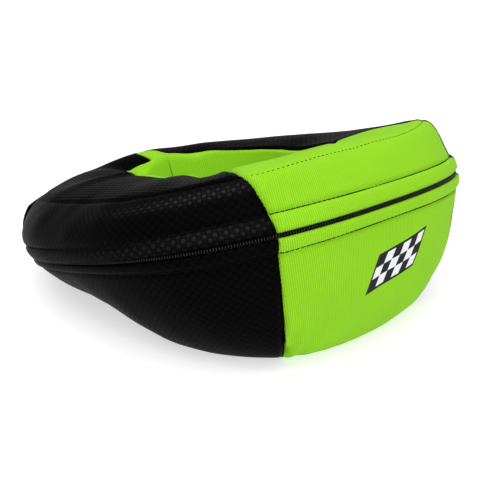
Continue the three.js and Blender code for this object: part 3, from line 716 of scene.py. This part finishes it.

# Neck lining: the same green cloth, from under the collar up the neck wall and over the rim, where
# it is sewn to the top cloth. Soft ripples run all round it.
LINING_WAVES = ((0.4, 31, 160, 0.3), (0.25, 22, -120, 2.0), (0.4, 70, 90, 4.4))
LINING_RADIUS, LINING_COLUMNS, LINING_EASING, LINING_END = 62, 560, 5, 0.08
# depth and half width of the groove at the foot and at the sewn edge
LINING_FOOT_GROOVE, LINING_EDGE_GROOVE = (1.4, 1.6), (1.4, 1.4)
lining_angles = np.linspace(-180, 180, LINING_COLUMNS + 1)[None, :]


def lining_rim(s, t):
    """Line from the neck wall over the rim's rounding to the edge that is sewn to the top cloth."""
    return rim_or_top(s, -1 + (1 + rim_edge_at(lining_angles)) * t)


lining_grid = rows_of([(lining_line, 34), (lining_rim, 18)], lambda share: lining_angles + 0 * share)
lining_grid = eased_rows(lining_grid, LINING_EASING)
lining_points = ring_points(lining_grid, LINING_END)
lining_down = distances(lining_points, 0)
lining_u = np.radians(lining_grid[..., 0]) * LINING_RADIUS
lining_push = ripples(lining_u, lining_down, LINING_WAVES) * np.sin(np.pi * lining_down / lining_down[-1:])
lining_push += groove(lining_down, *LINING_FOOT_GROOVE)
lining_push += groove(lining_down[-1:] - lining_down, *LINING_EDGE_GROOVE)
lining_points = lining_points + outward(lining_points) * lining_push[..., None]
lining = grid_mesh("neck_lining_cloth", lining_points, np.stack([lining_u, lining_down], -1))
lining_wall = lining.modifiers.new("cloth thickness", "SOLIDIFY")
lining_wall.thickness, lining_wall.offset = CLOTH_THICKNESS, -1
lining.data.materials.append(green_cloth)
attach(lining, "root")
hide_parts("neck_lining")

# Ends of the arms at the chin: flat closings of the black coated cloth, sewn into the cover at both
# ends of the ring. The tab hides them.
# A closing lies this far behind the arm's end plane and inside the foam's outline; its rings crowd outwards
END_THICKNESS, END_BEHIND, END_INSIDE, END_RINGS, END_CROWD = 1.6, 0.1, 2.6, 8, 0.7
for side, sign in (("left", 1), ("right", -1)):
    section = rows_of(foam_loop, lambda share: np.full_like(share, sign * 180.0))[:-1]
    section = eased_rows(section, FOAM_EASING, closed=True)[:, 0, 1:]
    centre = section.mean(0)
    reach = section - centre
    reach = reach * (1 - END_INSIDE / np.linalg.norm(reach, axis=-1, keepdims=True))
    flat = centre + reach * np.linspace(0, 1, END_RINGS)[:, None, None] ** END_CROWD
    near = sign * (ARM_GAP / 2 + END_BEHIND) + 0 * flat[..., 0]
    front = np.stack([near, -flat[..., 0], flat[..., 1]], -1)
    back = front[::-1] + [sign * END_THICKNESS, 0, 0]
    closing = np.concatenate([front, back])
    closing = np.concatenate([closing, closing[:, :1]], 1)
    end = grid_mesh(f"arm_end_{side}_closing", closing, closing[..., 1:], weld=True)
    end.data.materials.append(black_vinyl)
    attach(end, "root")
    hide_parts(f"arm_end_{side}")

# Stitches: dark polyester thread in lines of short lock stitches. They hold the folds beside the
# zip, the two sides of the green and black seams, and the green top along its outer edge.
STITCH_LENGTH, STITCH_WIDTH = 3.1, 0.75
SEAM_STITCH_PITCH, EDGE_STITCH_PITCH = 2.4, 3.0
THREAD_COLOUR, THREAD_TWIST, THREAD_DEPTH = (0.004, 0.0045, 0.004), 900, 0.0002
thread, nodes, links, principled = shader("dark_thread", THREAD_COLOUR, 0.8, 0.03)
bump(nodes, links, principled, grain(nodes, links, "Wave", THREAD_TWIST).outputs["Fac"], THREAD_DEPTH)


def line_on_cover(cover, measure, values, at):
    """Points and normals of a cover where a measure that grows or falls down its rows takes a value in
    each column: the two rows beside it, mixed by how near each one is. at picks the columns."""
    field = cover[measure] - np.asarray(values)
    above = np.argmax(field[:-1] * field[1:] <= 0, 0)
    column = np.arange(field.shape[1])
    before, after = field[above, column], field[above + 1, column]
    share = (before / (before - after))[:, None]
    points, normals = (grid[above, column] + (grid[above + 1, column] - grid[above, column]) * share
                       for grid in (cover["points"], cover["normal"]))
    return points[at], normals[at]


LOOK_AHEAD = 0.5


def along_path(points, normals, pitch):
    """Even points along a path, with the path's direction and the cloth's normal at each: the direction
    runs from a little behind to a little ahead, and the normal is squared to it."""
    def pick(values, where):
        """Values at lengths along the path, straight between its points."""
        return np.stack([np.interp(where, length, values[:, k]) for k in range(3)], -1)

    def unit(vector):
        """Vectors of length 1."""
        return vector / np.linalg.norm(vector, axis=-1, keepdims=True)

    length = distances(points, 0)
    at = np.arange(pitch / 2, length[-1], pitch)
    centre, ahead, behind = pick(points, at), pick(points, at + LOOK_AHEAD), pick(points, at - LOOK_AHEAD)
    direction, normal = unit(ahead - behind), unit(pick(normals, at))
    return centre, direction, unit(normal - direction * np.sum(normal * direction, -1, keepdims=True))


def repeated_mesh(name, centre, direction, normal, profile, rings=6):
    """One mesh of many small rounded bars. Each is a row of ovals, whose profile gives the place along
    the bar, the oval's half width and half height, and its lift off the cloth."""
    side = np.cross(normal, direction)
    turn = np.arange(rings) * 2 * np.pi / rings
    along, half, high, lift = (np.array(v, float)[:, None] for v in zip(*profile))
    template = np.stack([along + 0 * turn, half * np.cos(turn), lift + high * np.sin(turn)], -1).reshape(-1, 3)
    axes = (direction, side, normal)
    points = centre[:, None] + sum(template[None, :, k:k + 1] * axis[:, None] for k, axis in enumerate(axes))
    count, size, steps = len(centre), len(template), len(profile)
    a = (np.arange(steps - 1)[:, None] * rings + np.arange(rings)[None]).ravel()
    b = (np.arange(steps - 1)[:, None] * rings + (np.arange(rings)[None] + 1) % rings).ravel()
    quads = np.stack([a, b, b + rings, a + rings], -1)
    faces = (quads[None] + np.arange(count)[:, None, None] * size).reshape(-1, 4).tolist()
    for start in (np.arange(rings)[::-1], np.arange(rings) + (steps - 1) * rings):
        faces += (start[None] + np.arange(count)[:, None] * size).tolist()
    mesh = bpy.data.meshes.new(name)
    mesh.from_pydata(lie_down(points).reshape(-1, 3).tolist(), [], faces)
    return smooth_piece(name, mesh)


# one stitch: share of half its length, then half width, half height and lift; the seams' own is smaller
stitch_profile = [(share * STITCH_LENGTH / 2, half_width, high, lift) for share, half_width, high, lift in (
    (-1, 0.16, 0.12, -0.12), (-0.75, STITCH_WIDTH / 2, 0.24, 0.06), (0, STITCH_WIDTH / 2, 0.28, 0.16),
    (0.75, STITCH_WIDTH / 2, 0.24, 0.06), (1, 0.16, 0.12, -0.12))]
edge_profile = [(0.55 * x, 0.7 * w, 0.8 * h, lift - 0.1) for x, w, h, lift in stitch_profile]


def stitches(name, points, normals, pitch=STITCH_PITCH, profile=stitch_profile):
    """Line of thread stitches at an even pitch along a path on the cloth."""
    centre, direction, normal = along_path(points, normals, pitch)
    piece = repeated_mesh(name, centre, direction, normal, profile)
    piece.data.materials.append(thread)
    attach(piece, "root")
    return piece


for level, column in (("upper", 1), ("lower", 2)):
    paths = []
    for name in (f"{level}_side_right", f"{level}_back_panel", f"{level}_side_left"):
        cover = covers[name]
        angles = np.abs(cover["angle"][-1 if level == "upper" else 0])
        paths.append(line_on_cover(cover, "from_zip", curve_through(STITCHED, column, angles), slice(1, -1)))
    stitches(f"{level}_fold_stitches", np.concatenate([p for p, _ in paths]), np.concatenate([n for _, n in paths]))
    cover = covers[f"{level}_back_panel"]
    inside_ends = slice(2, -12) if level == "upper" else slice(12, -2)
    for side, seam_column in (("left", -1), ("right", 0)):
        seam_points, seam_normals = (cover[grid][inside_ends, seam_column] for grid in ("points", "normal"))
        stitches(f"{level}_seam_stitches_{side}", seam_points, seam_normals, SEAM_STITCH_PITCH, edge_profile)
cover = covers["upper_back_panel"]
below_rim = cover["away"][EDGE_SEAM_ROW] + curve_through(EDGE_STITCH_DROP, 1, cover["angle"][EDGE_SEAM_ROW])
stitches("edge_stitches", *line_on_cover(cover, "away", below_rim, slice(4, -4)), EDGE_STITCH_PITCH, edge_profile)

# Zip: a coil zip round the collar's widest line, sewn behind the folds. Two woven tapes carry the
# coil, whose loops are closed all the way round; a lacquered slider hangs from it.
COIL_HEIGHT, COIL_PITCH = 3.2, 1.6
TAPE_WIDTH, TAPE_THICKNESS, TAPE_INSET, TAPE_CLEARANCE = 6.4, 1.0, 1.9, 0.2
CORE_HALF, CORE_FROM, CORE_TO, TOOTH_INSET = 1.3, 1.3, 2.6, 0.9
ZIP_END, ZIP_COLUMNS = 179.2, 560
TAPE_BLACK, TAPE_RIB = (0.003, 0.003, 0.0035), 0.7
COIL_BLACK, COIL_GRAIN, COIL_RELIEF = (0.009, 0.009, 0.01), 1500, 0.00005
zip_angles = np.linspace(-ZIP_END, ZIP_END, ZIP_COLUMNS + 1)[None, :]


def wall_radius(s, z):
    """Radius of the wall at a height, over the zip or under it."""
    over, under = upper_wall(s, np.maximum(z, 0)), lower_point(s, lower_turn(s, np.minimum(z, 0)))[0]
    return np.where(z >= 0, over, under)


def wall_strip(corners):
    """Closed strip round the collar: corners are (height from the zip, distance inward of the wall)."""
    corners = np.array(corners, float)
    z = corners[:, :1] + 0 * zip_angles
    s = section_at(zip_angles + 0 * z)
    return ring_points(np.stack([zip_angles + 0 * z, wall_radius(s, z) - corners[:, 1:], z], -1))


tape_cloth = ribbed_cloth("zip_tape_cloth", TAPE_BLACK, TAPE_RIB)
tape_low, tape_back = COIL_HEIGHT / 2 + TAPE_CLEARANCE, TAPE_INSET + TAPE_THICKNESS
for name, sign in (("upper", 1), ("lower", -1)):
    low, high = sign * tape_low, sign * (tape_low + TAPE_WIDTH)
    corners = [(low, TAPE_INSET), (low, tape_back), (high, tape_back), (high, TAPE_INSET)]
    points = wall_strip(corners[::sign])
    uv = np.stack([np.radians(zip_angles + 0 * points[..., 0]) * CLOTH_RADIUS, points[..., 2]], -1)
    tape = grid_mesh(f"zip_tape_{name}_cloth", points, uv, closed_rows=True, caps=True)
    tape.data.materials.append(tape_cloth)
    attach(tape, "root")
    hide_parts(f"zip_tape_{name}")

coil_plastic, nodes, links, principled = shader("coil_plastic", COIL_BLACK, 0.32, 0.35)
bump(nodes, links, principled, grain(nodes, links, "Noise", COIL_GRAIN).outputs["Fac"], COIL_RELIEF)
core = wall_strip([(-CORE_HALF, CORE_FROM), (-CORE_HALF, CORE_TO), (CORE_HALF, CORE_TO), (CORE_HALF, CORE_FROM)])
coil = grid_mesh("zip_coil_core", core, core[..., [0, 2]], closed_rows=True, caps=True)
# half a loop, from the middle of the zip to its tape: place, half width, half height and lift
tooth = [(-0.1, 0.35, 0.4, 0.9), (0.3, 0.42, 0.5, 1.1), (0.7, 0.42, 0.5, 0.9), (1.2, 0.35, 0.4, 0.3),
         (1.7, 0.15, 0.2, -0.4)]
tooth_line = wall_strip([(0, TOOTH_INSET)])[0]
tooth_normal = tooth_line * [1, 1, 0] / np.linalg.norm(tooth_line[:, :2], axis=-1, keepdims=True)
centre, _, normal = along_path(tooth_line, tooth_normal, COIL_PITCH)
for name, sign in (("upper", 1), ("lower", -1)):
    teeth = repeated_mesh(f"zip_coil_loops_{name}", centre, 0 * normal + [0, 0, sign], normal, tooth, rings=5)
    teeth.data.materials.append(coil_plastic)
    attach(teeth, "root")
coil.data.materials.append(tape_cloth)
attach(coil, "root")
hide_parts("zip_coil")

# Closing tab: a padded strap of the black cloth sewn to the left arm. It laps over both arms at
# the chin and grips the right arm with hook tape.
TAB_FROM, TAB_TO, TAB_THICKNESS, TAB_DEPTH, TAB_FLOOR_GAP, TAB_OVER_EDGE = 131.0, 208.0, 2.8, 11.0, 0.8, 1.0
TAB_ROWS, TAB_COLUMNS = 40, 110
# how far it stands off the wall at its sewn end, how far at its free end, and the length between
TAB_SEWN_OFF, TAB_STANDOFF, TAB_RISES_OVER = 0.2, 1.7, 30
TAB_ROUND, TAB_HEM, TAB_HEM_GROOVE = 2.2, 4.5, (0.5, 0.9)
tab_across = np.linspace(0, 1, TAB_COLUMNS)[None, :]
tab_turn = TAB_FROM + (TAB_TO - TAB_FROM) * tab_across
tab_angle = np.where(tab_turn > 180, tab_turn - 360, tab_turn)
tab_t = np.linspace(0, 1, TAB_ROWS)[:, None]
tab_section = section_at(tab_angle + 0 * tab_t)
tab_high = tab_section["top"] - EDGE_ROUND + TAB_OVER_EDGE
tab_outside = tab_section["outer"] + TAB_STANDOFF + TAB_THICKNESS
tab_low = np.maximum(-TAB_DEPTH, floor_height(tab_section, tab_outside) + TAB_FLOOR_GAP)
tab_z = tab_high + (tab_low - tab_high) * tab_t
tab_radius = wall_radius(tab_section, tab_z)
x, y = np.sin(np.radians(tab_angle)), np.cos(np.radians(tab_angle))
tab_base = np.stack([tab_radius * x, tab_radius * y, tab_z], -1)
tab_normal = outward(tab_base)
down_mm, along_mm = distances(tab_base, 0), distances(tab_base, 1)
to_edge = np.min([down_mm, down_mm[-1:] - down_mm, along_mm, along_mm[:, -1:] - along_mm], 0)
# its edge is a quarter circle: the padding swells from nothing there to its whole half thickness
swell = TAB_THICKNESS / 2 * np.sqrt(np.clip(1 - (1 - np.clip(to_edge / TAB_ROUND, 0, 1)) ** 2, 0, 1))
tab_off = TAB_SEWN_OFF + (TAB_STANDOFF - TAB_SEWN_OFF) * np.clip(along_mm / TAB_RISES_OVER, 0, 1)
tab_middle = tab_off + TAB_THICKNESS / 2
tab_out = tab_base + tab_normal * (tab_middle + swell + groove(to_edge - TAB_HEM, *TAB_HEM_GROOVE))[..., None]
tab_in = tab_base + tab_normal * (tab_middle - swell)[..., None]
tab_uv = np.stack([np.radians(tab_turn + 0 * tab_t) * CLOTH_RADIUS, down_mm], -1)
tab_shell, tab_shell_uv = np.concatenate([tab_out, tab_in[::-1]]), np.concatenate([tab_uv, tab_uv[::-1]])
tab = grid_mesh("closing_tab_strap", tab_shell, tab_shell_uv, closed_rows=True, weld=True)
tab.data.materials.append(black_vinyl)
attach(tab, "root")
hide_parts("closing_tab")

# Slider: a small cast metal slider with its pull, lacquered dark and a little worn. It stays as the
# solid has it, on the far side of the zip, and only gets its finish here.
LACQUER, WORN_DARK, WORN_LIGHT = (0.012, 0.013, 0.014), (0.009, 0.01, 0.011), (0.02, 0.021, 0.022)
LACQUER_WEAR, LACQUER_RELIEF = 400, 0.00006
lacquer, nodes, links, principled = shader("slider_lacquer", LACQUER, 0.35, 0.5)
wear = grain(nodes, links, "Noise", LACQUER_WEAR).outputs["Fac"]
links.new(colour_mix(nodes, links, wear, WORN_DARK, WORN_LIGHT), principled.inputs["Base Color"])
bump(nodes, links, principled, wear, LACQUER_RELIEF)
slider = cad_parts["zip_slider"]
slider.data.materials.clear()
slider.data.materials.append(lacquer)

# Floor, light and camera: a plain white floor under a large soft overhead light, with softer
# light from the camera's side, and the camera at the photograph's height and angle.
FLOOR_HALF, FLOOR_BELOW, PAPER, PAPER_GLOW, SKY_LIGHT = 6, 0.0006, (0.6, 0.6, 0.6), 0.58, 0.5
floor_mesh = bpy.data.meshes.new("studio_floor")
floor_corners = [(FLOOR_HALF * x, FLOOR_HALF * y, -FLOOR_BELOW) for x, y in ((-1, -1), (1, -1), (1, 1), (-1, 1))]
floor_mesh.from_pydata(floor_corners, [], [(0, 1, 2, 3)])
floor = bpy.data.objects.new("studio_floor", floor_mesh)
bpy.context.scene.collection.objects.link(floor)
paper, nodes, links, principled = shader("white_paper", PAPER, 0.9, 0.0)
principled.inputs["Emission Color"].default_value = (1, 1, 1, 1)
principled.inputs["Emission Strength"].default_value = PAPER_GLOW
floor_mesh.materials.append(paper)

world = bpy.data.worlds.new("studio")
world.use_nodes = True
sky = world.node_tree.nodes["Background"]
sky.inputs["Color"].default_value = (1, 1, 1, 1)
sky.inputs["Strength"].default_value = SKY_LIGHT
bpy.context.scene.world = world

CAMERA_TURN, CAMERA_RISE, CAMERA_AWAY = np.radians(50.17), np.radians(21.4), 0.652
# the ring's centre is seen at this place in a picture of this many pixels, with this focal length
RING_CENTRE, SEEN_AT, PICTURE, FOCAL_PIXELS, SENSOR = np.array([0, -0.0004, 0.048]), (238.8, 210.2), 480, 975.0, 36


def soft_light(name, place, towards, size, power):
    """Square area light of a size, at a place, facing a point."""
    light = bpy.data.lights.new(name, "AREA")
    light.size, light.energy = size, power
    lamp = bpy.data.objects.new(name, light)
    bpy.context.scene.collection.objects.link(lamp)
    lamp.location = place
    direction = np.array(towards) - np.array(place)
    lamp.rotation_euler = Vector(direction).to_track_quat("-Z", "Y").to_euler()


to_camera = np.array([np.cos(CAMERA_TURN), np.sin(CAMERA_TURN), 0])
to_right = np.array([-np.sin(CAMERA_TURN), np.cos(CAMERA_TURN), 0])
soft_light("overhead", (0, 0, 1.6), (0, 0, 0), 2.0, 24)
soft_light("side", (0.9, 0.0, 1.2), (0.05, 0.05, 0.06), 0.4, 3)
soft_light("front", 1.5 * to_camera + 0.5 * to_right + [0, 0, 0.9], (0, 0, 0.03), 1.2, 10)

camera_data = bpy.data.cameras.new("camera")
camera_data.sensor_width = SENSOR
camera_data.lens = FOCAL_PIXELS * SENSOR / PICTURE
camera = bpy.data.objects.new("camera", camera_data)
bpy.context.scene.collection.objects.link(camera)
pitch = CAMERA_RISE - np.arctan((SEEN_AT[1] - PICTURE / 2) / FOCAL_PIXELS)
yaw = np.arctan((PICTURE / 2 - SEEN_AT[0]) / FOCAL_PIXELS) / np.cos(CAMERA_RISE)
sight = np.cos(CAMERA_RISE) * to_camera + np.array([0, 0, np.sin(CAMERA_RISE)])
camera.location = RING_CENTRE + CAMERA_AWAY * sight
camera.rotation_euler = (np.pi / 2 - pitch, 0, np.pi / 2 + CAMERA_TURN - yaw)
bpy.context.scene.camera = camera
bpy.context.scene.view_settings.view_transform = "Standard"
